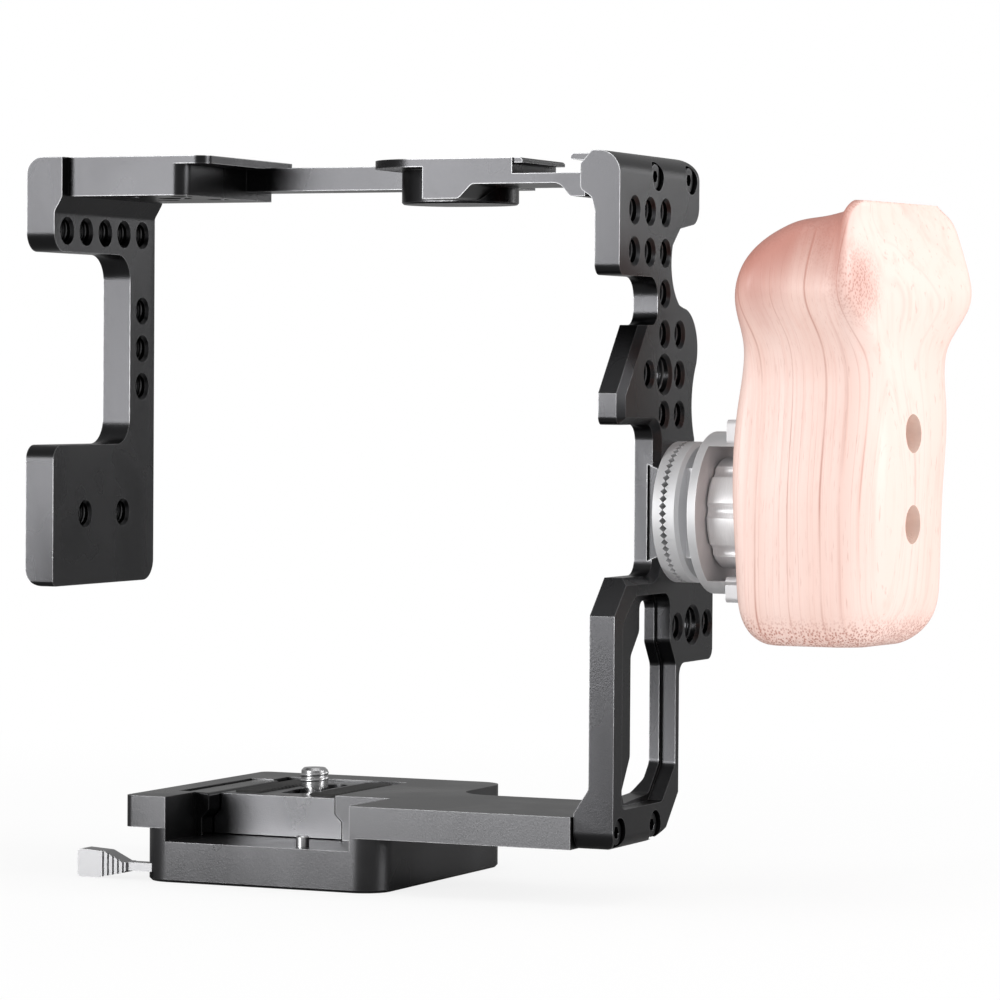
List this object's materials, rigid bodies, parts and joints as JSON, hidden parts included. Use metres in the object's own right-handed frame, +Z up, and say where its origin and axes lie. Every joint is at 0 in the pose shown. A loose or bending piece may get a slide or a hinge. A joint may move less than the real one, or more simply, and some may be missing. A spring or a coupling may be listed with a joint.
{
  "type": "camera cage",
  "caption": "Camera cage of milled plates with a quick-release base, lever clamp and accessory shoe, and a wooden side handle that swings on a toothed rosette clamped by a knob.",
  "frame": {"origin": "mouth of the tripod thread in the underside of the base block", "axes": "+X to the viewer's right, towards the handle; +Y forward, where the lens points; +Z up"},
  "size_m": [0.2081, 0.0746, 0.1656],
  "materials": {
    "black_anodised": "satin black anodised",
    "grey_anodised": "satin dark grey anodised",
    "silver": "satin clear anodised",
    "steel": "brushed",
    "black_steel": "black oxide",
    "rubber": "matte",
    "wood": "oiled, fine grain"
  },
  "bodies": {
    "frame": {"base_plate": "black_anodised", "side_plate": "black_anodised", "top_plate": "black_anodised", "left_side_plate": "black_anodised", "top_screws": "black_steel", "bottom_screws": "black_steel", "left_screws": "black_steel", "lever_pin": "steel", "stop_plug": "black_steel", "stop_spring": "steel", "rosette_mount": "silver", "rosette_screws": "black_steel"},
    "plate": {"quick_release_plate": "grey_anodised", "rubber_pads": "rubber", "camera_screw": "steel"},
    "jaw": {"clamp_jaw": "black_anodised"},
    "lever": {"release_lever": "steel"},
    "stop": {"stop_pin": "steel"},
    "handle": {"handle_rosette": "silver", "handle_yoke": "silver", "wood_grip": "wood", "grip_screws": "steel"},
    "knob": {"clamp_knob": "silver", "clamp_stud": "steel"}
  },
  "joints": [
    {"name": "plate_slide", "type": "slide", "parent": "frame", "child": "plate", "axis": [0, -1, 0], "range_m": [0, 0.0145]},
    {"name": "lever_swing", "type": "hinge", "parent": "frame", "child": "lever", "pos_m": [-0.0252, -0.0252, 0.0029], "axis": [0, 0, -1], "range_deg": [0, 40]},
    {"name": "jaw_slide", "type": "slide", "parent": "frame", "child": "jaw", "axis": [-1, 0, 0], "range_m": [0, 0.0008]},
    {"name": "stop_press", "type": "slide", "parent": "frame", "child": "stop", "axis": [0, 0, -1], "range_m": [0, 0.0024], "stiffness_N_per_m": 250, "springref_m": -0.003, "deforming": ["stop_spring"]},
    {"name": "handle_swing", "type": "hinge", "parent": "frame", "child": "handle", "pos_m": [0.0889, 0.0044, 0.0856], "axis": [1, 0, 0], "continuous": true},
    {"name": "knob_turn", "type": "hinge", "parent": "handle", "child": "knob", "pos_m": [0.1019, 0.0044, 0.0856], "axis": [1, 0, 0], "continuous": true}
  ],
  "couplings": [
    {"joint": "jaw_slide", "follows": "lever_swing", "m_per_rad": 0.001145}
  ]
}
